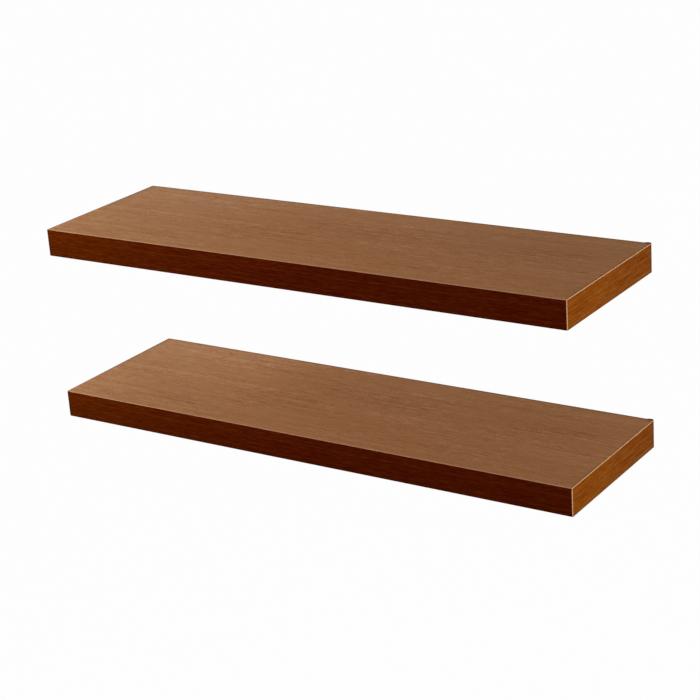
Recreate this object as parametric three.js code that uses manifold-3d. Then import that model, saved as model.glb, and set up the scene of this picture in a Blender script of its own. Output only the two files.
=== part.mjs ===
// Two floating wall shelves, one above the other. Each is a hollow-core board in woodgrain foil that slides
// over the rods of a concealed steel bracket. Millimetres; X runs along the wall, Z is up, the wall is the
// plane Y = 0 and the boards stand in front of it, at negative Y. The origin is the centre of the lower
// bracket's back face.
import * as THREE from "three";
import { mergeVertices } from "three/addons/utils/BufferGeometryUtils.js";
import Module from "manifold-3d";

const wasm = await Module();
wasm.setup();

// The set
const boardLength = 800;
const boardDepth = 235;
const boardThickness = 38;
const boardSpacing = 240;

// The board's shell
const skinThickness = 3;
const frontBandThickness = 0.8;
const frontBandBevel = 0.3;
const endBandThickness = 1.2;
const endBandBevel = 0.4;
const bandCornerRadius = 2.4;
const bandReturn = 12;
const nubHeight = 1.2;
const nubRadius = 1.1;
const nubCrestLength = 6;
const glueLine = 0.1;

// The frame inside the board
const frontRailWidth = 25;
const endRailWidth = 25;
const backRailWidth = 45;
const ribWidth = 30;
const ribCount = 3;

// The paper core
const cellSize = 40;
const cellWall = 1;

// The wall bracket
const rodDiameter = 12;
const rodLength = 150;
const rodEndInset = 130;
const rodTipChamfer = 1;
const weldLeg = 2;
const boreClearance = 0.5;
const boreEndRoom = 5;
const plateThickness = 3;
const plateCornerRadius = 4;
const plateClearance = 2;
const plateEndMargin = 15;
const wallHoleDiameter = 5.3;
const wallHoleHeadDiameter = 9.8;
const wallHoleRodOffset = 40;

// The lock screws that stop a board sliding off its rods
const lockScrewDiameter = 4;
const lockScrewHeadDiameter = 7.5;
const lockScrewInset = 26;
const lockScrewPointLength = 1;
const lockScrewTipGap = 0.3;
const lockHoleClearance = 0.4;
const headEdge = 0.4;
const driveWidth = 1.1;
const driveSpanShare = 0.6;
const driveDepthShare = 0.55;

// Cutting tools overrun the faces they cut by this much, and closer vertices are one
const overrun = 1;
const mergeDistance = 0.001;
const roundSides = 20;
const holeSides = 16;
const smallSides = 12;
const arcSteps = 4;

// Places that several pieces share
const halfLength = boardLength / 2;
const halfThickness = boardThickness / 2;
const innerHalfLength = halfLength - endBandThickness - glueLine;
const skinFront = -boardDepth + frontBandThickness + glueLine;
const coreHalfHeight = halfThickness - skinThickness - glueLine;
const railInnerX = innerHalfLength - endRailWidth;
const frontRailBack = skinFront + frontRailWidth;
const backRailBack = -plateThickness - plateClearance;
const backRailFront = backRailBack - backRailWidth;
const rodRadius = rodDiameter / 2;
const boreRadius = rodRadius + boreClearance;
const rodTip = -plateThickness - rodLength;
const outerRodX = halfLength - rodEndInset;
const rodXs = Array.from(
  { length: ribCount },
  (_, i) => -outerRodX + (2 * outerRodX * i) / (ribCount - 1),
);

// Materials, in the photographed colours where the piece shows
const finish = (color, roughness, metalness = 0) =>
  new THREE.MeshStandardMaterial({ color, roughness, metalness });
const topFoil = finish(0x8c6244, 0.5);
const frontFoil = finish(0x491806, 0.5);
const endFoil = finish(0x834819, 0.5);
const fibreboard = finish(0xb08d62, 0.9);
const softwood = finish(0xc9a56e, 0.85);
const kraftPaper = finish(0xb58f5e, 0.95);
const bracketSteel = finish(0x2b2b2d, 0.45, 0.6);
const zincSteel = finish(0xb9b7ae, 0.35, 1);

// A closed geometry as a solid that can be cut and joined, and a solid as a geometry again
function solidOf(geometry) {
  const bare = geometry.clone();
  bare.deleteAttribute("normal");
  bare.deleteAttribute("uv");
  const merged = mergeVertices(bare, mergeDistance);
  return new wasm.Manifold(
    new wasm.Mesh({
      numProp: 3,
      vertProperties: merged.attributes.position.array,
      triVerts: new Uint32Array(merged.index.array),
    }),
  );
}

function geometryOf(solid) {
  const { vertProperties, triVerts } = solid.getMesh();
  const geometry = new THREE.BufferGeometry();
  geometry.setAttribute("position", new THREE.BufferAttribute(vertProperties, 3));
  geometry.setIndex(new THREE.BufferAttribute(triVerts, 1));
  geometry.computeVertexNormals();
  return geometry;
}

function cut(geometry, ...tools) {
  const left = tools.reduce((solid, tool) => solid.subtract(solidOf(tool)), solidOf(geometry));
  return geometryOf(left);
}

// A straight-sided block between two corners
function block([x0, y0, z0], [x1, y1, z1]) {
  const geometry = new THREE.BoxGeometry(x1 - x0, y1 - y0, z1 - z0);
  return geometry.translate((x0 + x1) / 2, (y0 + y1) / 2, (z0 + z1) / 2);
}

// A turned piece about the Y axis, from [radius, place along Y] pairs given from the lowest Y to the highest
function turned(profile, sides) {
  return new THREE.LatheGeometry(
    profile.map(([radius, y]) => new THREE.Vector2(radius, y)),
    sides,
  );
}

// A plan outline raised from one height to another, its upper and lower edges eased by a bevel
function raised(shape, z0, z1, bevel = 0) {
  const geometry = new THREE.ExtrudeGeometry(shape, {
    depth: z1 - z0 - 2 * bevel,
    curveSegments: arcSteps,
    bevelEnabled: bevel > 0,
    bevelSegments: 1,
    bevelSize: bevel,
    bevelThickness: bevel,
    bevelOffset: -bevel,
  });
  return geometry.translate(0, 0, z0 + bevel);
}

// Skins: thin fibreboard sheets, notched at the rear corners where the end bands turn in behind them
function skinOutline() {
  const notchX = halfLength - bandReturn - glueLine;
  const notchY = -endBandThickness - glueLine;
  const cornerX = halfLength - bandCornerRadius;
  const cornerRadius = bandCornerRadius - endBandThickness - glueLine;
  const shape = new THREE.Shape();
  shape.moveTo(-innerHalfLength, skinFront);
  shape.lineTo(innerHalfLength, skinFront);
  shape.lineTo(innerHalfLength, -bandCornerRadius);
  shape.absarc(cornerX, -bandCornerRadius, cornerRadius, 0, Math.PI / 2, false);
  shape.lineTo(notchX, notchY);
  shape.lineTo(notchX, 0);
  shape.lineTo(-notchX, 0);
  shape.lineTo(-notchX, notchY);
  shape.lineTo(-cornerX, notchY);
  shape.absarc(-cornerX, -bandCornerRadius, cornerRadius, Math.PI / 2, Math.PI, false);
  shape.closePath();
  return shape;
}

function topPanel() {
  return raised(skinOutline(), halfThickness - skinThickness, halfThickness);
}

function bottomPanel() {
  const sheet = raised(skinOutline(), -halfThickness, -halfThickness + skinThickness);
  return cut(sheet, ...lockScrewXs().map((x) => lockScrewHole(x)));
}

// Edge bands: strips with a bevel all round, which shows as the pale line on the board's edges
function frontBand() {
  const front = -boardDepth;
  const back = front + frontBandThickness;
  const shape = new THREE.Shape();
  shape.moveTo(-innerHalfLength, front);
  shape.lineTo(innerHalfLength, front);
  shape.lineTo(innerHalfLength, back);
  shape.lineTo(-innerHalfLength, back);
  shape.closePath();
  return raised(shape, -halfThickness, halfThickness, frontBandBevel);
}

function endBandOutline() {
  const innerX = halfLength - endBandThickness;
  const cornerX = halfLength - bandCornerRadius;
  const innerRadius = bandCornerRadius - endBandThickness;
  const shape = new THREE.Shape();
  shape.moveTo(innerX, -boardDepth);
  shape.lineTo(halfLength - endBandBevel, -boardDepth);
  shape.lineTo(halfLength, -boardDepth + endBandBevel);
  shape.lineTo(halfLength, -bandCornerRadius);
  shape.absarc(cornerX, -bandCornerRadius, bandCornerRadius, 0, Math.PI / 2, false);
  shape.lineTo(halfLength - bandReturn, 0);
  shape.lineTo(halfLength - bandReturn, -endBandThickness);
  shape.lineTo(cornerX, -endBandThickness);
  shape.absarc(cornerX, -bandCornerRadius, innerRadius, Math.PI / 2, 0, true);
  shape.closePath();
  return shape;
}

// The right band's return rises above the board's top on its way to the corner, where it is rounded off
function rightBand() {
  const nubTop = halfThickness + nubHeight;
  const nubEnd = halfLength - bandReturn;
  const profile = new THREE.Shape();
  profile.moveTo(nubEnd, 0);
  profile.lineTo(halfLength, 0);
  profile.lineTo(halfLength, nubTop - nubRadius);
  profile.absarc(halfLength - nubRadius, nubTop - nubRadius, nubRadius, 0, Math.PI / 2, false);
  profile.lineTo(halfLength - nubCrestLength, nubTop);
  profile.lineTo(nubEnd, halfThickness);
  profile.closePath();
  const envelope = new THREE.ExtrudeGeometry(profile, {
    depth: bandCornerRadius,
    curveSegments: arcSteps,
    bevelEnabled: false,
  }).rotateX(Math.PI / 2);
  const strip = solidOf(raised(endBandOutline(), -halfThickness, halfThickness, endBandBevel));
  const tall = solidOf(raised(endBandOutline(), 0, nubTop));
  return geometryOf(strip.add(tall.intersect(solidOf(envelope))));
}

function leftBand() {
  const shape = endBandOutline();
  const mirrored = new THREE.Shape(
    shape
      .getPoints(arcSteps)
      .map((point) => new THREE.Vector2(-point.x, point.y))
      .reverse(),
  );
  return raised(mirrored, -halfThickness, halfThickness, endBandBevel);
}

// The frame: rails all round between the skins, and a rib across at each rod
function frontRail() {
  return block(
    [-innerHalfLength, skinFront, -coreHalfHeight],
    [innerHalfLength, frontRailBack, coreHalfHeight],
  );
}

function endRail(side) {
  const xs = [side * railInnerX, side * innerHalfLength].sort((a, b) => a - b);
  return block(
    [xs[0], frontRailBack + glueLine, -coreHalfHeight],
    [xs[1], -bandCornerRadius - glueLine, coreHalfHeight],
  );
}

// A bore for a rod, wider at its mouth to clear the weld
function rodBore(x, mouth, end) {
  const flareEnd = mouth - weldLeg;
  return turned(
    [
      [0, end],
      [boreRadius, end],
      [boreRadius, flareEnd],
      [boreRadius + weldLeg, flareEnd + weldLeg],
      [boreRadius + weldLeg, mouth + overrun],
      [0, mouth + overrun],
    ],
    roundSides,
  ).translate(x, 0, 0);
}

function backRail() {
  const reach = railInnerX - glueLine;
  const bar = block(
    [-reach, backRailFront, -coreHalfHeight],
    [reach, backRailBack, coreHalfHeight],
  );
  const bores = rodXs.map((x) => rodBore(x, backRailBack, backRailFront - overrun));
  const pilots = lockScrewXs().map((x) => lockScrewHole(x));
  return cut(bar, ...bores, ...pilots);
}

function rib(x) {
  const back = backRailFront - glueLine;
  const bar = block(
    [x - ribWidth / 2, frontRailBack + glueLine, -coreHalfHeight],
    [x + ribWidth / 2, back, coreHalfHeight],
  );
  const bore = turned(
    [
      [0, rodTip - boreEndRoom],
      [boreRadius, rodTip - boreEndRoom],
      [boreRadius, back + overrun],
      [0, back + overrun],
    ],
    roundSides,
  ).translate(x, 0, 0);
  return cut(bar, bore);
}

// The core: expanded paper honeycomb that fills a bay between two ribs, or a rib and an end rail
function core(x0, x1) {
  const from = [x0 + glueLine, frontRailBack + glueLine, -coreHalfHeight];
  const to = [x1 - glueLine, backRailFront - glueLine, coreHalfHeight];
  const rowPitch = cellSize + cellWall;
  const columnPitch = (rowPitch * Math.sqrt(3)) / 2;
  const columns = Math.ceil((to[0] - from[0]) / 2 / columnPitch);
  const rows = Math.ceil((to[1] - from[1]) / 2 / rowPitch) + 1;
  let web = solidOf(block(from, to));
  for (let column = -columns; column <= columns; column++)
    for (let row = -rows; row <= rows; row++) {
      const stagger = column % 2 ? rowPitch / 2 : 0;
      const cell = new THREE.CylinderGeometry(
        cellSize / Math.sqrt(3),
        cellSize / Math.sqrt(3),
        to[2] - from[2] + 2 * overrun,
        6,
      );
      cell.rotateY(Math.PI / 2).rotateX(Math.PI / 2);
      cell.translate(
        (from[0] + to[0]) / 2 + column * columnPitch,
        (from[1] + to[1]) / 2 + row * rowPitch + stagger,
        0,
      );
      web = web.subtract(solidOf(cell));
    }
  const [largest] = web.decompose().sort((a, b) => b.volume() - a.volume());
  return geometryOf(largest);
}

// The bracket: a steel plate that is screwed to the wall, with rods welded on that carry the board
function wallHoleXs() {
  const between = rodXs.slice(1).map((x, i) => (x + rodXs[i]) / 2);
  const outer = outerRodX + wallHoleRodOffset;
  return [-outer, ...between, outer];
}

function wallHole(x) {
  const holeRadius = wallHoleDiameter / 2;
  const headRadius = wallHoleHeadDiameter / 2;
  const front = -plateThickness;
  return turned(
    [
      [0, front - overrun],
      [headRadius, front - overrun],
      [headRadius, front + headEdge],
      [holeRadius, front + headEdge + headRadius - holeRadius],
      [holeRadius, overrun],
      [0, overrun],
    ],
    holeSides,
  ).translate(x, 0, 0);
}

function wallPlate() {
  const halfWidth = outerRodX + wallHoleRodOffset + plateEndMargin;
  const halfHeight = coreHalfHeight - plateClearance;
  const r = plateCornerRadius;
  const shape = new THREE.Shape();
  shape.moveTo(-halfWidth + r, -halfHeight);
  shape.absarc(halfWidth - r, -halfHeight + r, r, -Math.PI / 2, 0, false);
  shape.absarc(halfWidth - r, halfHeight - r, r, 0, Math.PI / 2, false);
  shape.absarc(-halfWidth + r, halfHeight - r, r, Math.PI / 2, Math.PI, false);
  shape.absarc(-halfWidth + r, -halfHeight + r, r, Math.PI, 1.5 * Math.PI, false);
  shape.closePath();
  const plate = raised(shape, 0, plateThickness).rotateX(Math.PI / 2);
  return cut(plate, ...wallHoleXs().map((x) => wallHole(x)));
}

// A rod with its weld at the plate and an eased tip
function rod(x) {
  const root = -plateThickness;
  return turned(
    [
      [0, rodTip],
      [rodRadius - rodTipChamfer, rodTip],
      [rodRadius, rodTip + rodTipChamfer],
      [rodRadius, root - weldLeg],
      [rodRadius + weldLeg, root],
      [0, root],
    ],
    roundSides,
  ).translate(x, 0, 0);
}

// Lock screws: up through the underside and the back rail, to bear on the outer rods
function lockScrewXs() {
  return [rodXs[0], rodXs[ribCount - 1]];
}

function standUnder(geometry, x) {
  return geometry.rotateX(Math.PI / 2).translate(x, -lockScrewInset, -halfThickness);
}

function lockScrewHole(x) {
  const holeRadius = lockScrewDiameter / 2 + lockHoleClearance;
  const headRadius = lockScrewHeadDiameter / 2 + lockHoleClearance;
  const hole = turned(
    [
      [0, -overrun],
      [headRadius, -overrun],
      [headRadius, headEdge],
      [holeRadius, headEdge + headRadius - holeRadius],
      [holeRadius, halfThickness - rodRadius],
      [0, halfThickness - rodRadius],
    ],
    smallSides,
  );
  return standUnder(hole, x);
}

// A countersunk screw with a cross recess, its head flush with the underside
function lockScrew(x) {
  const radius = lockScrewDiameter / 2;
  const headRadius = lockScrewHeadDiameter / 2;
  const headEnd = headEdge + headRadius - radius;
  const end = halfThickness - rodRadius - lockScrewTipGap;
  const blank = turned(
    [
      [0, 0],
      [headRadius, 0],
      [headRadius, headEdge],
      [radius, headEnd],
      [radius, end - lockScrewPointLength],
      [radius - lockScrewPointLength, end],
      [0, end],
    ],
    smallSides,
  );
  const reach = headRadius * driveSpanShare;
  const slot = block(
    [-reach, -overrun, -driveWidth / 2],
    [reach, headEnd * driveDepthShare, driveWidth / 2],
  );
  return standUnder(cut(blank, slot, slot.clone().rotateY(Math.PI / 2)), x);
}

// Everything that one shelf is made of: name, geometry and material
function shelfPieces() {
  const places = ["left", "middle", "right"];
  const pieces = [
    ["top_panel", topPanel(), topFoil],
    ["bottom_panel", bottomPanel(), topFoil],
    ["front_band", frontBand(), frontFoil],
    ["left_band", leftBand(), endFoil],
    ["right_band", rightBand(), endFoil],
    ["front_rail", frontRail(), fibreboard],
    ["left_rail", endRail(-1), fibreboard],
    ["right_rail", endRail(1), fibreboard],
    ["back_rail", backRail(), softwood],
    ["wall_plate", wallPlate(), bracketSteel],
  ];
  rodXs.forEach((x, i) => {
    pieces.push([`${places[i]}_rib`, rib(x), softwood]);
    pieces.push([`${places[i]}_rod`, rod(x), bracketSteel]);
  });
  const ribEdges = rodXs.flatMap((x) => [x - ribWidth / 2, x + ribWidth / 2]);
  const bayEdges = [-railInnerX, ...ribEdges, railInnerX];
  for (let bay = 0; bay <= ribCount; bay++)
    pieces.push([`core_${bay + 1}`, core(bayEdges[2 * bay], bayEdges[2 * bay + 1]), kraftPaper]);
  lockScrewXs().forEach((x, i) => {
    pieces.push([`${["left", "right"][i]}_lock_screw`, lockScrew(x), zincSteel]);
  });
  return pieces;
}

const shelves = new THREE.Group();
const pieces = shelfPieces();
for (const [level, height] of [
  ["lower", 0],
  ["upper", boardSpacing],
]) {
  const shelf = new THREE.Group();
  shelf.position.z = height;
  for (const [name, geometry, material] of pieces) {
    const mesh = new THREE.Mesh(geometry, material);
    mesh.name = `${level}_${name}`;
    shelf.add(mesh);
  }
  shelves.add(shelf);
}

export default shelves;
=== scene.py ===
from math import cos, pi, radians, sin

import bmesh
import bpy
from mathutils import Matrix, Vector


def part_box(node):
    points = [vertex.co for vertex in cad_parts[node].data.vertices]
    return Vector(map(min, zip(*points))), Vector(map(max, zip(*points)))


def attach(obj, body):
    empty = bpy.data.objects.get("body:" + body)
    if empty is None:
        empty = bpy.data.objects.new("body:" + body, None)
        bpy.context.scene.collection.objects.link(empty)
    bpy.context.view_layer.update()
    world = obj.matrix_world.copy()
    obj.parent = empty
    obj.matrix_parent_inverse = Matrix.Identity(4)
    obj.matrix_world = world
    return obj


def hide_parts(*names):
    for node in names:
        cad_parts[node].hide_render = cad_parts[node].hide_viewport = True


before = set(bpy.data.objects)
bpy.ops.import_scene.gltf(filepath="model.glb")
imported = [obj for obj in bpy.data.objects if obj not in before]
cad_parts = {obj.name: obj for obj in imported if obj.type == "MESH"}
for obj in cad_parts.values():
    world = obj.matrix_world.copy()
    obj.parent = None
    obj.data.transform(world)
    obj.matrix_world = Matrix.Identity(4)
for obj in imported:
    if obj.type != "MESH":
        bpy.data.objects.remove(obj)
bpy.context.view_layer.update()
bpy.ops.object.select_all(action="DESELECT")

# Wall plates: flat steel strips with rounded corners and four countersunk holes, one behind each board.
# They are punched from 3 mm strip, powder coated black with their rods, and screwed to the wall.
plate_low, plate_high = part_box("lower_wall_plate")
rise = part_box("upper_wall_plate")[0] - plate_low
plate_corner_radius = 0.004
plate_edge_radius = 0.0003
wall_hole_radius = 0.00265
wall_hole_head_radius = 0.0049
wall_hole_head_edge = 0.0004
rod_places = ("left", "middle", "right")
rod_xs = [sum(corner.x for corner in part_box(f"lower_{place}_rod")) / 2 for place in rod_places]
wall_hole_rod_offset = 0.04
wall_hole_xs = [
    rod_xs[0] - wall_hole_rod_offset,
    (rod_xs[0] + rod_xs[1]) / 2,
    (rod_xs[1] + rod_xs[2]) / 2,
    rod_xs[2] + wall_hole_rod_offset,
]
overrun = 0.001
tiny = 0.000001
close = 0.00002
straight = 0.999
facing = 0.9
round_sides = 48
sharp_angle = radians(40)
black_coat_colour = (0.016, 0.016, 0.017, 1)
black_coat_dust_colour = (0.034, 0.033, 0.031, 1)
coat_peel_size = (0.0009, 0.0009, 0.0009)
coat_dust_size = (0.03, 0.02, 0.02)
coat_roughness = 0.42
coat_relief = 0.00006
coat_shine = 0.2


def only(piece):
    """Selects one piece and nothing else."""
    bpy.ops.object.select_all(action="DESELECT")
    piece.select_set(True)
    bpy.context.view_layer.objects.active = piece


def block(low, high):
    """A cube between two corners, with its place in its mesh."""
    low, high = Vector(low), Vector(high)
    bpy.ops.mesh.primitive_cube_add(size=1, location=(low + high) / 2, scale=high - low)
    bpy.ops.object.transform_apply()
    return bpy.context.active_object


def middle(part):
    """The middle of a face or an edge that is being edited."""
    return sum((vertex.co for vertex in part.verts), Vector()) / len(part.verts)


def edit(piece, kind, wanted=lambda part: True):
    """Opens a piece for editing, with the wanted ones of its faces or edges selected."""
    only(piece)
    bpy.ops.object.mode_set(mode="EDIT")
    bpy.ops.mesh.select_mode(type=kind)
    bpy.ops.mesh.select_all(action="DESELECT")
    mesh = bmesh.from_edit_mesh(piece.data)
    for part in {"EDGE": mesh.edges, "FACE": mesh.faces}[kind]:
        if wanted(part):
            part.select_set(True)
    bmesh.update_edit_mesh(piece.data)


def done():
    """Closes the piece that is being edited."""
    bpy.ops.object.mode_set(mode="OBJECT")


def near(a, b):
    """Whether two places along an axis are the same, but for rounding."""
    return abs(a - b) < close


def runs_along(edge, axis):
    """Whether an edge runs along X, Y or Z, given as 0, 1 or 2."""
    run = edge.verts[1].co - edge.verts[0].co
    return abs(run[axis]) > straight * run.length


def turned(centre, axis, profile):
    """A round piece from pairs of a place along the axis and a radius.

    It starts as a cone between the first two. Its end face is then extruded and scaled to each other one.
    """
    axis = Vector(axis)
    (foot, first), (place, radius) = profile[:2]
    bpy.ops.mesh.primitive_cone_add(
        vertices=round_sides,
        radius1=first,
        radius2=radius,
        depth=place - foot,
        location=Vector(centre) + axis * (foot + place) / 2,
        rotation=Vector((0, 0, 1)).rotation_difference(axis).to_euler(),
    )
    bpy.ops.object.transform_apply()
    piece = bpy.context.active_object
    for next_place, next_radius in profile[2:]:
        end = (Vector(centre) + axis * place).dot(axis)
        edit(piece, "FACE", lambda f: f.normal.dot(axis) > straight and near(middle(f).dot(axis), end))
        bpy.ops.mesh.extrude_region_move(TRANSFORM_OT_translate={"value": axis * (next_place - place)})
        bpy.ops.transform.resize(
            value=[next_radius / radius] * 3, center_override=Vector(centre) + axis * next_place
        )
        done()
        place, radius = next_place, next_radius
    return piece


def apply(piece, kind, **settings):
    """Adds a modifier with these settings, and applies it."""
    only(piece)
    modifier = piece.modifiers.new(kind.title(), kind)
    for name, value in settings.items():
        setattr(modifier, name, value)
    bpy.ops.object.modifier_apply(modifier=modifier.name)


def cut(piece, tool):
    """Cuts a tool out of a piece, and clears the tool away."""
    apply(piece, "BOOLEAN", operation="DIFFERENCE", solver="EXACT", object=tool)
    bpy.data.objects.remove(tool)


def ease(piece, radius, segments=2):
    """Rounds all sharp edges of a piece a little, and shades its curves smooth."""
    apply(
        piece,
        "BEVEL",
        width=radius,
        segments=segments,
        limit_method="ANGLE",
        angle_limit=sharp_angle,
        miter_outer="MITER_ARC",
    )
    bpy.ops.object.shade_smooth_by_angle(angle=sharp_angle)


def copied(piece, way):
    """A copy of a piece with its own mesh, moved this way."""
    only(piece)
    bpy.ops.object.duplicate()
    copy = bpy.context.active_object
    copy.data.transform(Matrix.Translation(way))
    return copy


def hang(piece, name, node, body):
    """Puts a finished piece on its body in place of its CAD node, and a copy of it on the shelf above."""
    above = copied(piece, rise)
    for level, made in (("lower", piece), ("upper", above)):
        made.name = made.data.name = f"{level}_{name}"
        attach(made, body.format(level))
        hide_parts(f"{level}_{node}")


class Wire:
    """A socket in a material. Sums and products of wires and numbers add the Math nodes for them."""

    def __init__(self, tree, socket):
        self.tree, self.socket = tree, socket

    def node(self, kind, settings, inputs, output=0):
        """Makes a node: its settings first, then the values or wires of its inputs."""
        made = self.tree.nodes.new(kind)
        for name, value in settings.items():
            setattr(made, name, value)
        for name, value in inputs.items():
            if isinstance(value, Wire):
                self.tree.links.new(value.socket, made.inputs[name])
            else:
                made.inputs[name].default_value = value
        return Wire(self.tree, made.outputs[output]) if made.outputs else None

    def maths(self, operation, *others):
        return self.node("ShaderNodeMath", {"operation": operation}, dict(enumerate((self, *others))))

    def __add__(self, other):
        return self.maths("ADD", other)

    def __sub__(self, other):
        return self.maths("SUBTRACT", other)

    def __rsub__(self, other):
        return self.maths("MULTIPLY_ADD", -1.0, other)

    def __mul__(self, other):
        return self.maths("MULTIPLY", other)

    def __truediv__(self, other):
        return self.maths("DIVIDE", other)

    def __neg__(self):
        return self * -1

    __radd__, __rmul__ = __add__, __mul__


def start(name):
    """A new material, with the wire of its Object coordinates."""
    made = bpy.data.materials.new(name)
    made.use_nodes = True
    made.node_tree.nodes.clear()
    coordinates = made.node_tree.nodes.new("ShaderNodeTexCoord")
    return made, Wire(made.node_tree, coordinates.outputs["Object"])


def cloud(place, size, detail=2.0, shift=0.0):
    """Noise about zero, with blotches of this size along X, Y and Z."""
    scaled = place.node(
        "ShaderNodeMapping",
        {},
        {"Vector": place, "Location": (shift, shift, shift), "Scale": [1 / length for length in size]},
    )
    return place.node("ShaderNodeTexNoise", {}, {"Vector": scaled, "Scale": 1.0, "Detail": detail}) - 0.5


def step(value, low, high):
    """A smooth step from 0 at the low value to 1 at the high one."""
    return value.node(
        "ShaderNodeMapRange",
        {"interpolation_type": "SMOOTHSTEP"},
        {"Value": value, "From Min": low, "From Max": high},
    )


def mixed(share, first, second):
    """The first colour, going over to the second as the share goes from 0 to 1."""
    return share.node("ShaderNodeMix", {"data_type": "RGBA"}, {0: share, 6: first, 7: second}, output=2)


def tinted(colour, tone):
    """A colour made lighter or darker by a tone about 1."""
    plain = colour if isinstance(colour, Wire) else colour[:3]
    return tone.node("ShaderNodeVectorMath", {"operation": "SCALE"}, {0: plain, "Scale": tone})


def surface(colour, roughness, relief, depth, fixed):
    """Ends a material: its colour, roughness and relief, and the values that are the same all over."""
    bump = relief.node("ShaderNodeBump", {}, {"Height": relief, "Distance": depth})
    changing = {"Base Color": colour, "Roughness": roughness, "Normal": bump}
    shader = relief.node("ShaderNodeBsdfPrincipled", {}, {**changing, **fixed})
    relief.node("ShaderNodeOutputMaterial", {}, {"Surface": shader})


def black_coat_material():
    """Black powder coat: a fine peel all over, with a little dust in patches."""
    made, place = start("black_powder_coat")
    peel = cloud(place, coat_peel_size, 1.0)
    dust = step(cloud(place, coat_dust_size, 4.0), 0.0, 0.25)
    colour = mixed(dust, black_coat_colour, black_coat_dust_colour)
    roughness = coat_roughness + 0.2 * dust + 0.1 * peel
    surface(colour, roughness, peel, coat_relief, {"Specular IOR Level": coat_shine})
    return made


black_coat = black_coat_material()

front = plate_low.y
plate = block(plate_low, plate_high)
edit(plate, "EDGE", lambda e: runs_along(e, 1))
bpy.ops.mesh.bevel(offset=plate_corner_radius, segments=8, affect="EDGES")
done()
for x in wall_hole_xs:
    hole = turned(
        (x, 0, 0),
        (0, 1, 0),
        [
            (front - overrun, wall_hole_head_radius),
            (front + wall_hole_head_edge, wall_hole_head_radius),
            (front + wall_hole_head_edge + wall_hole_head_radius - wall_hole_radius, wall_hole_radius),
            (plate_high.y + overrun, wall_hole_radius),
        ],
    )
    cut(plate, hole)
ease(plate, plate_edge_radius)
plate.data.materials.append(black_coat)
hang(plate, "steel_plate", "wall_plate", "brackets")

# Rods: three 12 mm round bars on each plate, which carry the board from inside.
# Each is cut from bar, chamfered at its tip and welded to the plate with a ring of overlapping beads.
rod_low, rod_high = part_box("lower_middle_rod")
rod_radius = 0.006
rod_tip_chamfer = 0.001
bead_radius = 0.0013
bead_ring_radius = 0.0066
bead_offset = 0.0012
bead_count = 26
bead_grain = 0.0002


def join(piece, other, **settings):
    """Joins another piece on to a piece, and clears it away."""
    apply(piece, "BOOLEAN", operation="UNION", solver="EXACT", object=other, **settings)
    bpy.data.objects.remove(other)


def weld():
    """A ring of beads round the rod's root, melted into one and flat against the plate."""
    bpy.ops.mesh.primitive_uv_sphere_add(
        segments=16,
        ring_count=10,
        radius=bead_radius,
        location=(bead_ring_radius, rod_high.y - bead_offset, 0),
    )
    bpy.ops.object.transform_apply()
    bead = bpy.context.active_object
    edit(bead, "FACE")
    bpy.ops.mesh.spin(steps=bead_count, dupli=True, angle=2 * pi, center=(0, 0, 0), axis=(0, 1, 0))
    done()
    apply(bead, "REMESH", mode="VOXEL", voxel_size=bead_grain)
    edit(bead, "FACE")
    bpy.ops.mesh.bisect(
        plane_co=(0, rod_high.y, 0), plane_no=(0, 1, 0), use_fill=True, clear_outer=True, threshold=tiny
    )
    done()
    return bead


rod = turned((0, 0, 0), (0, 1, 0), [(rod_low.y, rod_radius), (rod_high.y, rod_radius)])
edit(rod, "EDGE", lambda e: near(middle(e).y, rod_low.y) and not e.is_boundary and not runs_along(e, 1))
bpy.ops.mesh.bevel(offset=rod_tip_chamfer, segments=3, affect="EDGES")
done()
join(rod, weld())
bpy.ops.object.shade_smooth_by_angle(angle=sharp_angle)
rod.data.materials.append(black_coat)
for place, x in zip(rod_places, rod_xs):
    hang(copied(rod, (x, 0, 0)), f"{place}_steel_rod", f"{place}_rod", "brackets")
bpy.data.objects.remove(rod)

# Back rail and ribs: planed softwood bars glued between the skins, bored for the rods.
# The rods' weight-bearing fit is in these bores, and the back rail also takes the two lock screws.
bore_radius = 0.0065
weld_leg = 0.002
bore_end = rod_low.y - 0.005
bore_point = 0.0035
bore_point_radius = 0.0001
lock_hole_radius = 0.0024
lock_hole_head_radius = 0.00415
lock_hole_head_edge = 0.0004
lock_screw_xs = (rod_xs[0], rod_xs[-1])
lock_screw_y = sum(corner.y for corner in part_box("lower_left_lock_screw")) / 2
board_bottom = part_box("lower_bottom_panel")[0].z
plank_edge_radius = 0.0006
early_wood_colour = (0.62, 0.42, 0.22, 1)
late_wood_colour = (0.46, 0.265, 0.12, 1)
pith_distance = 0.07
ring_width = 0.0034
ring_sway = 0.006
ring_taper = 0.004
ring_unevenness = 1.6
wood_sway = (0.014, 0.3)
wood_unevenness = (0.009, 0.4)
wood_fibre = (0.0007, 0.02)
wood_tone_size = (0.12, 0.12, 0.12)
wood_roughness = 0.72
wood_relief = 0.00012
wood_shine = 0.3


def axes(place):
    """The X, Y and Z of a point."""
    return [place.node("ShaderNodeSeparateXYZ", {}, {"Vector": place}, output=axis) for axis in range(3)]


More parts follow.
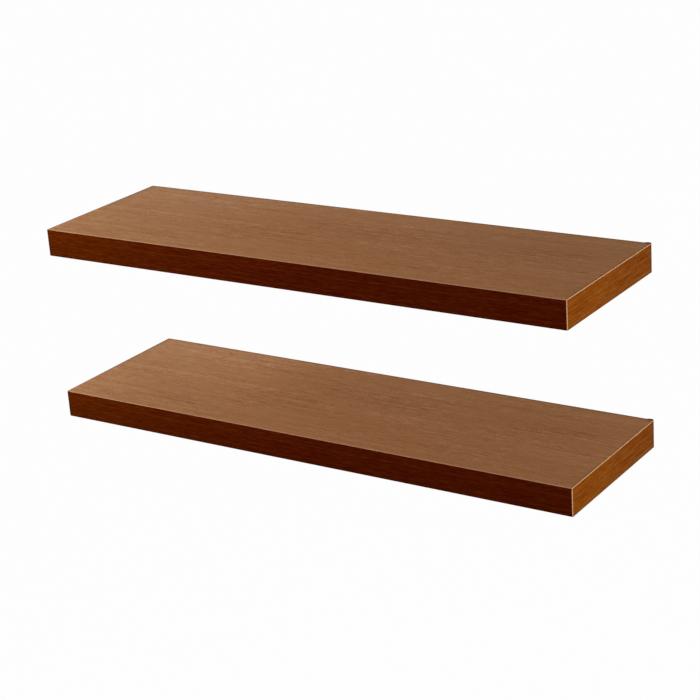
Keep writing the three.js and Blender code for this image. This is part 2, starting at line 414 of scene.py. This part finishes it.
def softwood_material(name, grain_axis):
    """Planed softwood: growth rings about a pith beside the bar, drawn out along its grain."""

    def drawn_out(noise):
        """The size of a noise of this width across the grain and this length along it."""
        width, length = noise
        return [length if axis == grain_axis else width for axis in range(3)]

    made, place = start(name)
    parts = axes(place)
    along = parts[grain_axis]
    across, up = parts[1 - grain_axis] + pith_distance, parts[2] + pith_distance / 2
    sway = cloud(place, drawn_out(wood_sway))
    uneven = cloud(place, drawn_out(wood_unevenness), 1.0)
    radius = (across * across + up * up).maths("SQRT") + ring_sway * sway + ring_taper * along
    ring = (radius / ring_width + ring_unevenness * uneven).maths("FRACT")
    late = step(ring, 0.35, 0.9) * (1 - step(ring, 0.93, 1.0))
    fibre = cloud(place, drawn_out(wood_fibre))
    tone = 1 + 0.35 * fibre + 0.5 * cloud(place, wood_tone_size)
    colour = tinted(mixed(late, early_wood_colour, late_wood_colour), tone)
    roughness = wood_roughness - 0.12 * late
    surface(colour, roughness, 0.4 * late + fibre, wood_relief, {"Specular IOR Level": wood_shine})
    return made


def lock_hole(x):
    """The drilled and countersunk way of a lock screw, from the underside up to the rod's bore."""
    return turned(
        (x, lock_screw_y, board_bottom),
        (0, 0, 1),
        [
            (-overrun, lock_hole_head_radius),
            (lock_hole_head_edge, lock_hole_head_radius),
            (lock_hole_head_edge + lock_hole_head_radius - lock_hole_radius, lock_hole_radius),
            (-board_bottom - rod_radius, lock_hole_radius),
        ],
    )


rail_low, rail_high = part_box("lower_back_rail")
rail = block(rail_low, rail_high)
for x in rod_xs:
    bore = turned(
        (x, 0, 0),
        (0, 1, 0),
        [
            (rail_low.y - overrun, bore_radius),
            (rail_high.y - weld_leg, bore_radius),
            (rail_high.y, bore_radius + weld_leg),
            (rail_high.y + overrun, bore_radius + weld_leg),
        ],
    )
    cut(rail, bore)
for x in lock_screw_xs:
    cut(rail, lock_hole(x))
ease(rail, plank_edge_radius)
rail.data.materials.append(softwood_material("softwood_rail", 0))
hang(rail, "bored_rail", "back_rail", "{}_board")

softwood_rib = softwood_material("softwood_rib", 1)
for place, x in zip(rod_places, rod_xs):
    rib_low, rib_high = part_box(f"lower_{place}_rib")
    rib = block(rib_low, rib_high)
    bore = turned(
        (x, 0, 0),
        (0, 1, 0),
        [
            (bore_end - bore_point, bore_point_radius),
            (bore_end, bore_radius),
            (rib_high.y + overrun, bore_radius),
        ],
    )
    cut(rib, bore)
    ease(rib, plank_edge_radius)
    rib.data.materials.append(softwood_rib)
    hang(rib, f"{place}_bored_rib", f"{place}_rib", "{}_board")

# Front and end rails: fibreboard bars that close the frame and give the edge bands a flat ground.
# They are ripped from sheet, so their faces are fuzzy, with a denser crust above and below.
fibreboard_colour = (0.43, 0.27, 0.13, 1)
fibreboard_dark_colour = (0.30, 0.175, 0.078, 1)
fibreboard_edge_radius = 0.0004
fibreboard_fibre_size = (0.0016, 0.0016, 0.0005)
fibreboard_patch_size = (0.05, 0.05, 0.05)
fibreboard_crust = 0.0012
fibreboard_roughness = 0.86
fibreboard_relief = 0.0002
fibreboard_shine = 0.2


def board_places(place):
    """The X and Y of a point, and its height above the middle of its own board."""
    x, y, z = axes(place)
    return x, y, z - rise.z * (z / rise.z + 0.5).maths("FLOOR")


def fibreboard_material(name, low, high):
    """Raw fibreboard: pressed fibres, darker towards its faces at these heights."""
    made, place = start(name)
    fibre = cloud(place, fibreboard_fibre_size, 3.0)
    patch = cloud(place, fibreboard_patch_size)
    _, _, height = board_places(place)
    crust = step(height, high - fibreboard_crust, high) + 1 - step(height, low, low + fibreboard_crust)
    share = 0.45 + 1.6 * fibre + 0.35 * crust
    colour = tinted(mixed(share, fibreboard_colour, fibreboard_dark_colour), 1 + 0.4 * patch)
    roughness = fibreboard_roughness + 0.2 * fibre
    surface(colour, roughness, fibre, fibreboard_relief, {"Specular IOR Level": fibreboard_shine})
    return made


bar_low, bar_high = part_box("lower_front_rail")
rail_fibreboard = fibreboard_material("fibreboard_rail", bar_low.z, bar_high.z)
for node in ("front_rail", "left_rail", "right_rail"):
    bar = block(*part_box(f"lower_{node}"))
    ease(bar, fibreboard_edge_radius)
    bar.data.materials.append(rail_fibreboard)
    hang(bar, f"fibreboard_{node}", node, "{}_board")

# Cores: expanded kraft paper honeycomb that stands in the four bays between the ribs.
# It keeps the thin skins apart, and needs no glue but what holds it to them.
kraft_colour = (0.46, 0.275, 0.112, 1)
kraft_dark_colour = (0.33, 0.185, 0.07, 1)
kraft_fibre_size = (0.0009, 0.0009, 0.004)
kraft_cockle_size = (0.012, 0.012, 0.03)
kraft_roughness = 0.9
kraft_relief = 0.0002
kraft_shine = 0.2


def kraft_material():
    """Brown kraft paper: fine upright fibres, a little cockled."""
    made, place = start("kraft_paper")
    fibre = cloud(place, kraft_fibre_size, 3.0)
    cockle = cloud(place, kraft_cockle_size)
    colour = mixed(0.4 + 1.5 * fibre + 0.8 * cockle, kraft_colour, kraft_dark_colour)
    roughness = kraft_roughness + 0.1 * fibre
    surface(colour, roughness, fibre + 2 * cockle, kraft_relief, {"Specular IOR Level": kraft_shine})
    return made


kraft = kraft_material()
for name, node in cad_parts.items():
    if "core" in name:
        node.data.materials.clear()
        node.data.materials.append(kraft)

# Top and bottom skins: 3 mm fibreboard sheets with printed woodgrain foil on the face that shows.
# They are notched at the rear corners for the end bands, and the lower one is drilled for the lock screws.
band_low, band_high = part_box("lower_right_band")
top_low, top_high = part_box("lower_top_panel")
under_low, under_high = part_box("lower_bottom_panel")
glue_line = 0.0001
skin_notch_x = band_low.x - glue_line
skin_notch_y = -(band_high.x - top_high.x)
band_corner_radius = 0.0024
skin_edge_radius = 0.00015
top_left_sheen_colour = (0.262, 0.133, 0.061, 1)
top_right_colour = (0.276, 0.124, 0.0505, 1)
top_red_colour = (0.276, 0.116, 0.053, 1)
top_pore_colour = (0.130, 0.055, 0.022, 1)
top_grain = (
    (0.1, 0.22, 0.055),
    (0.22, 0.2, 0.013),
    (0.3, 0.13, 0.005),
    (0.38, 0.02, 0.0042),
    (0.38, 0.0034, 0.003),
    (0.3, 0.012, 0.0006),
)
figure_x, figure_y = 0.325, -0.082
figure_length, figure_width = 0.11, 0.034
figure_pitch = 0.0062
figure_bend = 14
figure_turns = 9
figure_sway_size = (0.09, 0.03, 1)
strong_patch_size = (0.16, 0.05, 1)
blush_size = (0.02, 0.013, 1)
pore_size = (0.012, 0.00042, 1)
painted_shade_slope = 0.4
wall_rim, front_rim, seam_rim = 0.005, 0.004, 0.004
foil_detail = 2.0
top_foil_roughness = 0.6
top_foil_relief = 0.00003
top_foil_shine = 0.01
foil_lean = 0.3


def grain_plane(along, across):
    """A flat coordinate for the print: first along the grain, then across it."""
    return along.node("ShaderNodeCombineXYZ", {}, {"X": along, "Y": across})


def print_grain(plane, layers, seed):
    """The grain of a print, about 0: noises of these strengths, lengths along it and widths across it."""
    noises = [
        strength * cloud(plane, (length, width, 1), foil_detail, seed + 5.0 * layer)
        for layer, (strength, length, width) in enumerate(layers)
    ]
    return sum(noises[1:], noises[0])


def printed(colour, grain):
    """A colour made paler by the grain, or darker and redder where it is below 0."""
    return grain.node("ShaderNodeGamma", {}, {"Color": colour, "Gamma": 1 - grain})


def rim(value, edge, width):
    """1 at an edge, going to 0 at this distance from it."""
    return 1 - step((value - edge).maths("ABSOLUTE"), 0.4 * width, width)


def top_foil_material():
    """Printed foil of the two skins: brown wood, straight-grained, with one flame near the right end.

    It is darker towards the wall, and darkest along the edge there and the seams at its ends: painted
    shade.
    """
    made, place = start("woodgrain_foil_top")
    x, y, _ = board_places(place)
    plane = grain_plane(x, y)
    sway = cloud(plane, figure_sway_size, 1.0, 5.0)
    along, across = (x - figure_x) / figure_length, (y - figure_y) / figure_width
    inside = 1 - step(along * along + across * across, 0.15, 1.0)
    phase = y / (figure_pitch / (2 * pi)) + figure_bend * sway + figure_turns * along
    figure = inside * phase.maths("SINE")
    strong = step(cloud(plane, strong_patch_size, 1.0, 29.0), -0.16, 0.2)
    grain = (0.6 + 0.7 * strong) * print_grain(plane, top_grain, 3.0) + 0.06 * figure
    # The front edge is made lighter: a painted highlight.
    rubbed = rim(y, top_low.y, front_rim)
    # Painted shade: darker towards the wall, most along its edge, at the right seam and the front of the
    # left seam.
    left_seam_shade = rim(x, top_low.x, seam_rim) * step(y, top_low.y, top_low.y / 2)
    dark = 0.3 * rim(y, 0.0, wall_rim) + 0.08 * rim(x, top_high.x, seam_rim) + 0.25 * left_seam_shade
    shade = (1 - painted_shade_slope * (y - top_low.y / 2)) * (1 + 0.15 * rubbed) * (1 - dark)
    blush = step(cloud(plane, blush_size, 2.0, 17.0), -0.12, 0.16)
    pores = step(cloud(plane, pore_size, 1.0, 23.0), 0.12, 0.2)
    # The ground is paler and greyer at the left: a painted sheen.
    ground = mixed(step(x, top_low.x, 0.0), top_left_sheen_colour, top_right_colour)
    colour = tinted(printed(mixed(0.6 * blush, ground, top_red_colour), grain), shade)
    colour = mixed(0.35 * pores, colour, top_pore_colour)
    roughness = top_foil_roughness - 0.25 * grain + 0.1 * pores
    surface(colour, roughness, -pores, top_foil_relief, {"Specular IOR Level": top_foil_shine})
    return made


def paint(piece, main, *others):
    """Gives a piece its main material, and other ones to the faces that each names."""
    for coat in (main, *(other for other, _ in others)):
        piece.data.materials.append(coat)
    for face in piece.data.polygons:
        for index, (_, covers) in enumerate(others, 1):
            if covers(face):
                face.material_index = index


def skin(low, high):
    """A notched sheet: a block up to the notches, its rear edge extruded to the wall between them."""
    sheet = block(low, (high.x, skin_notch_y, high.z))
    edit(sheet, "FACE")
    for side in (-1, 1):
        bpy.ops.mesh.select_all(action="SELECT")
        bpy.ops.mesh.bisect(plane_co=(side * skin_notch_x, 0, 0), plane_no=(1, 0, 0))
    done()
    edit(sheet, "FACE", lambda f: f.normal.y > facing and abs(middle(f).x) < skin_notch_x / 2)
    bpy.ops.mesh.extrude_region_move(TRANSFORM_OT_translate={"value": (0, -skin_notch_y, 0)})
    done()
    edit(
        sheet,
        "EDGE",
        lambda e: runs_along(e, 2) and near(abs(middle(e).x), high.x) and near(middle(e).y, skin_notch_y),
    )
    bpy.ops.mesh.bevel(offset=band_corner_radius + skin_notch_y, segments=6, affect="EDGES")
    done()
    return sheet


top_foil = top_foil_material()
# A skin shows no crust, so the heights of its crust are put a metre away.
skin_fibreboard = fibreboard_material("fibreboard_skin", -1, 1)
top_skin = skin(top_low, top_high)
ease(top_skin, skin_edge_radius)
paint(top_skin, skin_fibreboard, (top_foil, lambda face: face.normal.z > foil_lean))
hang(top_skin, "top_skin", "top_panel", "{}_board")

bottom_skin = skin(under_low, under_high)
for x in lock_screw_xs:
    cut(bottom_skin, lock_hole(x))
ease(bottom_skin, skin_edge_radius)
foil_top = under_low.z + 2 * skin_edge_radius
paint(
    bottom_skin,
    skin_fibreboard,
    (top_foil, lambda face: face.normal.z < -foil_lean and face.center.z < foil_top),
)
hang(bottom_skin, "bottom_skin", "bottom_panel", "{}_board")

# Front band: a thin strip in dark foil, glued to the board's front and trimmed flush.
# Its pale core shows where the trimmer has taken off the foil, as a fine line along the upper edge.
front_low, front_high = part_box("lower_front_band")
front_edge_radius = 0.00038
front_left_lit_colour = (0.088, 0.0138, 0.0005, 1)
front_right_colour = (0.079, 0.0083, 0.0008, 1)
front_streak_colour = (0.145, 0.030, 0.004, 1)
front_core_colour = (0.55, 0.33, 0.18, 1)
front_core_dark_colour = (0.38, 0.21, 0.11, 1)
front_red_colour = (0.079, 0.0055, 0.0013, 1)
front_grain = (
    (0.05, 0.22, 0.055),
    (0.12, 0.13, 0.0026),
    (0.42, 0.05, 0.0017),
    (0.5, 0.014, 0.0012),
    (0.5, 0.012, 0.0005),
)
front_streaks = ((0.0066, 0.0008, 5.0), (-0.0116, 0.0007, 29.0))
front_red_size = (0.016, 0.0024, 1)
front_long_rim, front_end_rim = 0.0014, 0.0024
streak_sway_size = (0.12, 1, 1)
streak_sway = 0.004
streak_gap_size = (0.035, 1, 1)
band_foil_roughness = 0.65
band_foil_relief = 0.00002
band_core_rub_size = (0.02, 0.02, 0.02)
band_core_roughness = 0.6
band_core_relief = 0.00003
band_core_shine = 0.04
core_lean = 0.2
core_under = 0.95


def band_core_material(name, colour, dark_colour):
    """The bare edge of a band: pressed paper, rubbed lighter and darker by the trimmer."""
    made, place = start(name)
    rub = cloud(place, band_core_rub_size, 3.0)
    shade = mixed(0.4 + 1.4 * rub, colour, dark_colour)
    roughness = band_core_roughness + 0.2 * rub
    surface(shade, roughness, rub, band_core_relief, {"Specular IOR Level": band_core_shine})
    return made


def streak_line(height, plane, line):
    """A lighter broken line in the print at one height."""
    level, width, shift = line
    sway = cloud(plane, streak_sway_size, 1.0, shift)
    off = (height - level + streak_sway * sway).maths("ABSOLUTE")
    gaps = step(cloud(plane, streak_gap_size, foil_detail, shift + 2.0), -0.25, 0.15)
    return gaps * (1 - step(off, 0.3 * width, 1.6 * width))


def streak_lines(height, plane, lines):
    """Both lighter lines of a print."""
    return streak_line(height, plane, lines[0]) + streak_line(height, plane, lines[1])


def either(first, second):
    """The greater of two values."""
    return first.maths("MAXIMUM", second)


def front_foil_material():
    """Printed foil of the front: dark red wood with two broken lighter lines.

    It is darker along its long edges and left end, painted shade, and lighter towards the left, painted
    light.
    """
    made, place = start("woodgrain_foil_front")
    x, _, height = board_places(place)
    plane = grain_plane(x, height)
    lines = streak_lines(height, plane, front_streaks)
    # Painted shade along the long edges and the left end.
    shaded_long_edges = rim(height.maths("ABSOLUTE"), top_high.z, front_long_rim)
    edges = either(shaded_long_edges, rim(x, -band_high.x, front_end_rim))
    grain = print_grain(plane, front_grain, 31.0)
    # The ground is lighter towards the left: painted light.
    ground = mixed(step(x, top_low.x, 0.0), front_left_lit_colour, front_right_colour)
    red = step(cloud(plane, front_red_size, 1.0, 61.0), -0.12, 0.12)
    colour = printed(mixed(0.3 * red, ground, front_red_colour), grain)
    colour = mixed(0.3 * lines, tinted(colour, 1 - 0.4 * edges), front_streak_colour)
    roughness = band_foil_roughness + 0.1 * lines
    surface(colour, roughness, grain, band_foil_relief, {"Specular IOR Level": 0.0})
    return made


def trimmed(face):
    """Whether a face of a band lies along its upper edge or under it, where the trimmer bared the core."""
    return face.normal.z > core_lean or face.normal.z < -core_under


front_core = band_core_material("front_band_core", front_core_colour, front_core_dark_colour)
front_foil = front_foil_material()
front_band = block(front_low, front_high)
ease(front_band, front_edge_radius, 3)
paint(front_band, front_foil, (front_core, trimmed))
hang(front_band, "front_edge_strip", "front_band", "{}_board")

# End bands: thicker strips in orange-brown foil that turn round the rear corner on to the board's back.
# The right one is rubbed to its pale core along the edges, partly painted highlight; its tail rises to a
# nub.
end_edge_radius = 0.00055
end_front_lit_colour = (0.245, 0.0625, 0.0055, 1)
end_rear_colour = (0.218, 0.0560, 0.0072, 1)
end_dark_colour = (0.165, 0.040, 0.005, 1)
end_light_colour = (0.33, 0.115, 0.018, 1)
end_core_colour = (0.78, 0.45, 0.225, 1)
end_core_dark_colour = (0.64, 0.37, 0.19, 1)
nub_colour = (0.14, 0.056, 0.022, 1)
nub_root = 0.001
nub_round = 0.0009
nub_inner_round = 0.00025
nub_crest_length = 0.006
spin_steps = 8
merge_distance = 0.00001
end_grain = (
    (0.12, 0.22, 0.055),
    (0.17, 0.13, 0.0042),
    (0.55, 0.06, 0.0018),
    (0.6, 0.02, 0.0013),
    (0.6, 0.009, 0.0006),
)
end_streaks = ((0.0040, 0.0009, 41.0), (-0.0150, 0.0006, 47.0))
end_sway_size = (0.06, 0.02, 1)
end_wave_height = 0.0006
end_wave_length = 0.02
end_wave_bend = 18
end_speck_size = (0.0036, 0.0022, 1)
end_under_rim, end_wall_rim = 0.0016, 0.006
front_wear_and_highlight, top_wear_and_highlight = 0.0007, 0.0005
wear_start, wear_full = 0.003, 0.006
nub_pull_size = (0.003, 0.003, 0.0008)
nub_roughness = 0.6
nub_shine = 0.02


def end_foil_material():
    """Printed foil of the ends: orange-brown wood with a wavy grain along the depth.

    At the right end its front and upper edges are worn to the core, partly a painted highlight.
    """
    made, place = start("woodgrain_foil_end")
    x, y, height = board_places(place)
    plane = grain_plane(y, height)
    sway = cloud(plane, end_sway_size, 1.0, 31.0)
    wave = (height / end_wave_height + end_wave_bend * sway + y / end_wave_length).maths("SINE")
    dark = step(wave * 0.5 + 2 * sway, 0.1, 1.1)
    lines = streak_lines(height, plane, end_streaks)
    speck = cloud(plane, end_speck_size, 1.0, 71.0)
    # Painted shade along the lower edge and the rear edge.
    edges = either(rim(height, under_low.z, end_under_rim), rim(y, 0.0, end_wall_rim))
    grain = print_grain(plane, end_grain, 37.0)
    # The ground is lighter at the front: painted light.
    ground = mixed(step(y, front_low.y, 0.0), end_front_lit_colour, end_rear_colour)
    colour = mixed(0.25 * dark, printed(ground, grain), end_dark_colour)
    colour = mixed(0.4 * lines, tinted(colour, 1 - 0.45 * edges), end_light_colour)
    # The pale core along the right end's edges is partly wear and partly a painted highlight.
    top_worn_and_highlight = rim(height, top_high.z, top_wear_and_highlight) * step(-y, wear_start, wear_full)
    worn = step(x, 0.0, band_low.x) * either(rim(y, front_low.y, front_wear_and_highlight), top_worn_and_highlight)
    colour = mixed(worn * (0.8 + speck), colour, end_core_colour)
    roughness = band_foil_roughness + 0.1 * lines
    surface(colour, roughness, grain, band_foil_relief, {"Specular IOR Level": 0.0})
    return made


def nub_foil_material():
    """The foil stretched over the nub and the left end's upper edge: dark, with little grain left."""
    made, place = start("woodgrain_foil_nub")
    pull = cloud(place, nub_pull_size)
    colour, roughness = tinted(nub_colour, 1 + pull), nub_roughness + 0.1 * pull
    surface(colour, roughness, pull, band_foil_relief, {"Specular IOR Level": nub_shine})
    return made


def end_band(side, low, high):
    """A strip between two heights, its rear end spun round the corner and extruded along the back."""
    inner_x = side * (top_high.x + glue_line)
    outer_x = side * band_high.x
    centre = (side * (band_high.x - band_corner_radius), -band_corner_radius, 0)
    xs = sorted((inner_x, outer_x))
    strip = block((xs[0], front_low.y, low), (xs[1], centre[1], high))
    edit(strip, "FACE", lambda f: f.normal.y > facing)
    bpy.ops.mesh.spin(steps=spin_steps, angle=side * pi / 2, center=centre, axis=(0, 0, -1))
    done()
    tail = abs(centre[0]) - band_low.x
    edit(
        strip,
        "FACE",
        lambda f: near(middle(f).x, centre[0]) and middle(f).y > centre[1] and abs(f.normal.x) > facing,
    )
    bpy.ops.mesh.extrude_region_move(TRANSFORM_OT_translate={"value": (-side * tail, 0, 0)})
    bpy.ops.mesh.select_all(action="SELECT")
    bpy.ops.mesh.remove_doubles(threshold=merge_distance)
    bpy.ops.mesh.normals_make_consistent(inside=False)
    done()
    return strip


def upright(face):
    """Whether a face stands upright."""
    return abs(face.normal.z) < 1 - facing


def nub():
    """The rear corner of a taller strip, sliced in a slope towards the tail's end, and rounded above."""
    corner = end_band(1, top_high.z - nub_root, band_high.z)
    crest = Vector((band_high.x - nub_crest_length, 0, band_high.z))
    slope = (crest - Vector((band_low.x, 0, top_high.z))).normalized()
    slices = (((0, -band_corner_radius, 0), (0, -1, 0)), (crest, (-slope.z, 0, slope.x)))
    edit(corner, "FACE")
    for point, normal in slices:
        bpy.ops.mesh.select_all(action="SELECT")
        bpy.ops.mesh.bisect(
            plane_co=point, plane_no=normal, use_fill=True, clear_outer=True, threshold=tiny
        )
    done()
    edit(corner, "EDGE", lambda e: near(middle(e).x, crest.x) and near(middle(e).z, crest.z))
    bpy.ops.mesh.bevel(offset=nub_crest_length / 2, segments=6, affect="EDGES")
    done()
    for side, radius in ((1, nub_round), (-1, nub_inner_round)):
        edit(
            corner,
            "EDGE",
            lambda e: any(f.normal.z > facing for f in e.link_faces)
            and any(upright(f) and side * (f.normal.x + f.normal.y) > 0.5 for f in e.link_faces),
        )
        bpy.ops.mesh.bevel(offset=radius, segments=4, affect="EDGES")
        done()
    corner.data.materials.append(nub_foil)
    return corner


end_foil = end_foil_material()
nub_foil = nub_foil_material()
end_core = band_core_material("end_band_core", end_core_colour, end_core_dark_colour)

left_band = end_band(-1, under_low.z, top_high.z)
ease(left_band, end_edge_radius, 3)
paint(
    left_band,
    end_foil,
    (front_foil, lambda face: face.normal.y < -foil_lean),
    (nub_foil, lambda face: face.normal.z > foil_lean),
)
hang(left_band, "left_edge_strip", "left_band", "{}_board")

right_band = end_band(1, under_low.z, top_high.z)
ease(right_band, end_edge_radius, 3)
paint(right_band, end_foil, (end_core, lambda face: trimmed(face) or face.normal.y < -core_lean))
join(right_band, nub(), material_mode="TRANSFER")
bpy.ops.object.shade_smooth_by_angle(angle=sharp_angle)
hang(right_band, "right_edge_strip", "right_band", "{}_board")

# Lock screws: two small countersunk screws under each board, up through the back rail to its outer rods.
# They are turned, rolled and zinc plated, with a cross recess, and come out before the board slides off.
screw_low, screw_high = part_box("lower_left_lock_screw")
screw_radius = 0.002
screw_core_radius = 0.0015
screw_head_radius = 0.00375
screw_head_edge = 0.0004
screw_point = 0.001
thread_pitch = 0.0007
thread_root_radius = screw_core_radius * 0.94
thread_flank = 0.4 * thread_pitch
thread_steps = 24
thread_sharp_angle = radians(30)
recess_width = 0.0011
recess_reach = 0.00225
recess_depth = 0.0012
recess_taper = 0.7
zinc_colour = (0.62, 0.60, 0.56, 1)
zinc_tint_colour = (0.56, 0.55, 0.40, 1)
zinc_wear_size = (0.0006, 0.0006, 0.0006)
zinc_tint_size = (0.004, 0.004, 0.004)
zinc_roughness = 0.3
zinc_relief = 0.00001


def zinc_material():
    """Zinc plate: pale metal, tinted yellow in patches."""
    made, place = start("zinc_plate")
    wear = cloud(place, zinc_wear_size, 3.0)
    tint = step(cloud(place, zinc_tint_size), -0.1, 0.15)
    colour = mixed(tint, zinc_colour, zinc_tint_colour)
    surface(colour, zinc_roughness + 0.35 * wear, wear, zinc_relief, {"Metallic": 1.0})
    return made


def thread(low, high):
    """A V thread: a small triangle beside the core, swept up it by the Screw modifier, its ends closed."""
    bpy.ops.mesh.primitive_circle_add(vertices=3, radius=1, fill_type="NOTHING")
    made = bpy.context.active_object
    radii = (thread_root_radius, screw_radius, thread_root_radius)
    for step_up, (vertex, radius) in enumerate(zip(made.data.vertices, radii)):
        vertex.co = (radius, 0, low + step_up * thread_flank)
    turns = (high - low) / thread_pitch - 1
    steps = round(thread_steps * turns)
    apply(
        made,
        "SCREW",
        angle=2 * pi * turns,
        screw_offset=thread_pitch * turns,
        steps=steps,
        render_steps=steps,
        use_merge_vertices=False,
    )
    edit(made, "EDGE", lambda e: e.is_boundary)
    bpy.ops.mesh.fill_holes(sides=4)
    bpy.ops.mesh.select_all(action="SELECT")
    bpy.ops.mesh.normals_make_consistent(inside=False)
    done()
    return made


head_end = screw_head_edge + screw_head_radius - screw_radius
length = screw_high.z - screw_low.z
screw = turned(
    (0, 0, screw_low.z),
    (0, 0, 1),
    [
        (0, screw_head_radius),
        (screw_head_edge, screw_head_radius),
        (head_end, screw_radius),
        (head_end + thread_pitch, screw_core_radius),
        (length - screw_point, screw_core_radius),
        (length, screw_core_radius - screw_point / 2),
    ],
)
join(screw, thread(screw_low.z + head_end, screw_high.z - screw_point / 2))
recess_top = screw_low.z + recess_depth
for reach_x, reach_y in ((recess_reach, recess_width / 2), (recess_width / 2, recess_reach)):
    arm = block((-reach_x, -reach_y, screw_low.z - overrun), (reach_x, reach_y, recess_top))
    edit(arm, "FACE", lambda f: f.normal.z > facing)
    bpy.ops.transform.resize(value=(recess_taper, recess_taper, 1), center_override=(0, 0, recess_top))
    done()
    cut(screw, arm)
only(screw)
bpy.ops.object.shade_smooth_by_angle(angle=thread_sharp_angle)
screw.data.materials.append(zinc_material())
for place, x in zip(("left", "right"), lock_screw_xs):
    hang(
        copied(screw, (x, lock_screw_y, 0)),
        f"{place}_cross_screw",
        f"{place}_lock_screw",
        "{}_" + place + "_lock_screw",
    )
bpy.data.objects.remove(screw)

# Floor: a plain pale sheet far below the shelves, which shows as all but white, with what little shadow
# reaches it. The world is white to the eye, and lights the shelves with a soft even glow.
floor_height = -2.7
floor_size = 120
floor_colour = (0.8, 0.8, 0.8, 1)
floor_white_share = 0.98
glow_strength = 0.34

bpy.ops.mesh.primitive_plane_add(size=floor_size, location=(0, 0, floor_height))
floor = bpy.context.active_object
floor.name = "floor"


def seen(tree):
    """1 for a ray from the eye, or one that shows the surroundings in metal or glass."""
    rays = tree.nodes.new("ShaderNodeLightPath").outputs
    camera = Wire(tree, rays["Is Camera Ray"])
    glossy = Wire(tree, rays["Is Glossy Ray"])
    through = Wire(tree, rays["Is Transmission Ray"])
    return either(either(camera, glossy), through)


floor_paint = bpy.data.materials.new("pale_floor")
floor_paint.use_nodes = True
floor_paint.node_tree.nodes.clear()
shown = seen(floor_paint.node_tree)
matt = shown.node("ShaderNodeBsdfDiffuse", {}, {"Color": floor_colour})
white = shown.node("ShaderNodeEmission", {}, {"Color": (1, 1, 1, 1), "Strength": 1.0})
blend = shown.node("ShaderNodeMixShader", {}, {0: floor_white_share * shown, 1: matt, 2: white})
shown.node("ShaderNodeOutputMaterial", {}, {"Surface": blend})
floor.data.materials.append(floor_paint)

world = bpy.data.worlds.new("studio")
bpy.context.scene.world = world
world.use_nodes = True
world.node_tree.nodes.clear()
shown = seen(world.node_tree)
glow = shown.node("ShaderNodeBackground", {}, {"Color": (1, 1, 1, 1), "Strength": glow_strength})
white = shown.node("ShaderNodeBackground", {}, {"Color": (1, 1, 1, 1), "Strength": 1.0})
blend = shown.node("ShaderNodeMixShader", {}, {0: shown, 1: glow, 2: white})
shown.node("ShaderNodeOutputWorld", {}, {"Surface": blend})

# Lamps: four softboxes. The key stands low at the left, so it lights both boards under one another alike
# and fades to the right. Two more stand behind, one of them low for the lower board, and one at the right.
stand_point = Vector((0, front_low.y / 2, rise.z / 2))
for name, place, size, power in (
    ("key_softbox", (-1.45, -0.74, 0.8), 0.7, 31.1),
    ("rear_softbox", (-1.21, 1.65, 1.99), 1.0, 19.5),
    ("low_softbox", (0.05, 1.25, 0.27), 0.4, 14.0),
    ("right_softbox", (2.2, -0.55, 0.5), 0.8, 24.0),
):
    bpy.ops.object.light_add(type="AREA", location=place)
    lamp = bpy.context.active_object
    lamp.name = name
    lamp.rotation_euler = (stand_point - Vector(place)).to_track_quat("-Z", "Y").to_euler()
    lamp.data.size = size
    lamp.data.energy = power
    lamp.visible_camera = False
    lamp.visible_glossy = False

# Camera: at the right and above, looking down along the boards to their left, and tilted a little.
# Its lens is given for a sensor 36 mm wide.
camera_aim = Vector((0.0522, -0.1778, 0.1270))
camera_distance = 2.5
camera_azimuth = radians(34.337)
camera_elevation = radians(20.194)
camera_roll = radians(-4.053)
camera_lens = 98.71

back = Vector(
    (
        sin(camera_azimuth) * cos(camera_elevation),
        -cos(camera_azimuth) * cos(camera_elevation),
        sin(camera_elevation),
    )
)
bpy.ops.object.camera_add(location=camera_aim + back * camera_distance)
camera = bpy.context.active_object
camera.data.lens = camera_lens
camera.rotation_mode = "QUATERNION"
camera.rotation_quaternion = (
    (-back).to_track_quat("-Z", "Y") @ Matrix.Rotation(camera_roll, 4, "Z").to_quaternion()
)
bpy.context.scene.camera = camera
bpy.context.scene.view_settings.view_transform = "Standard"
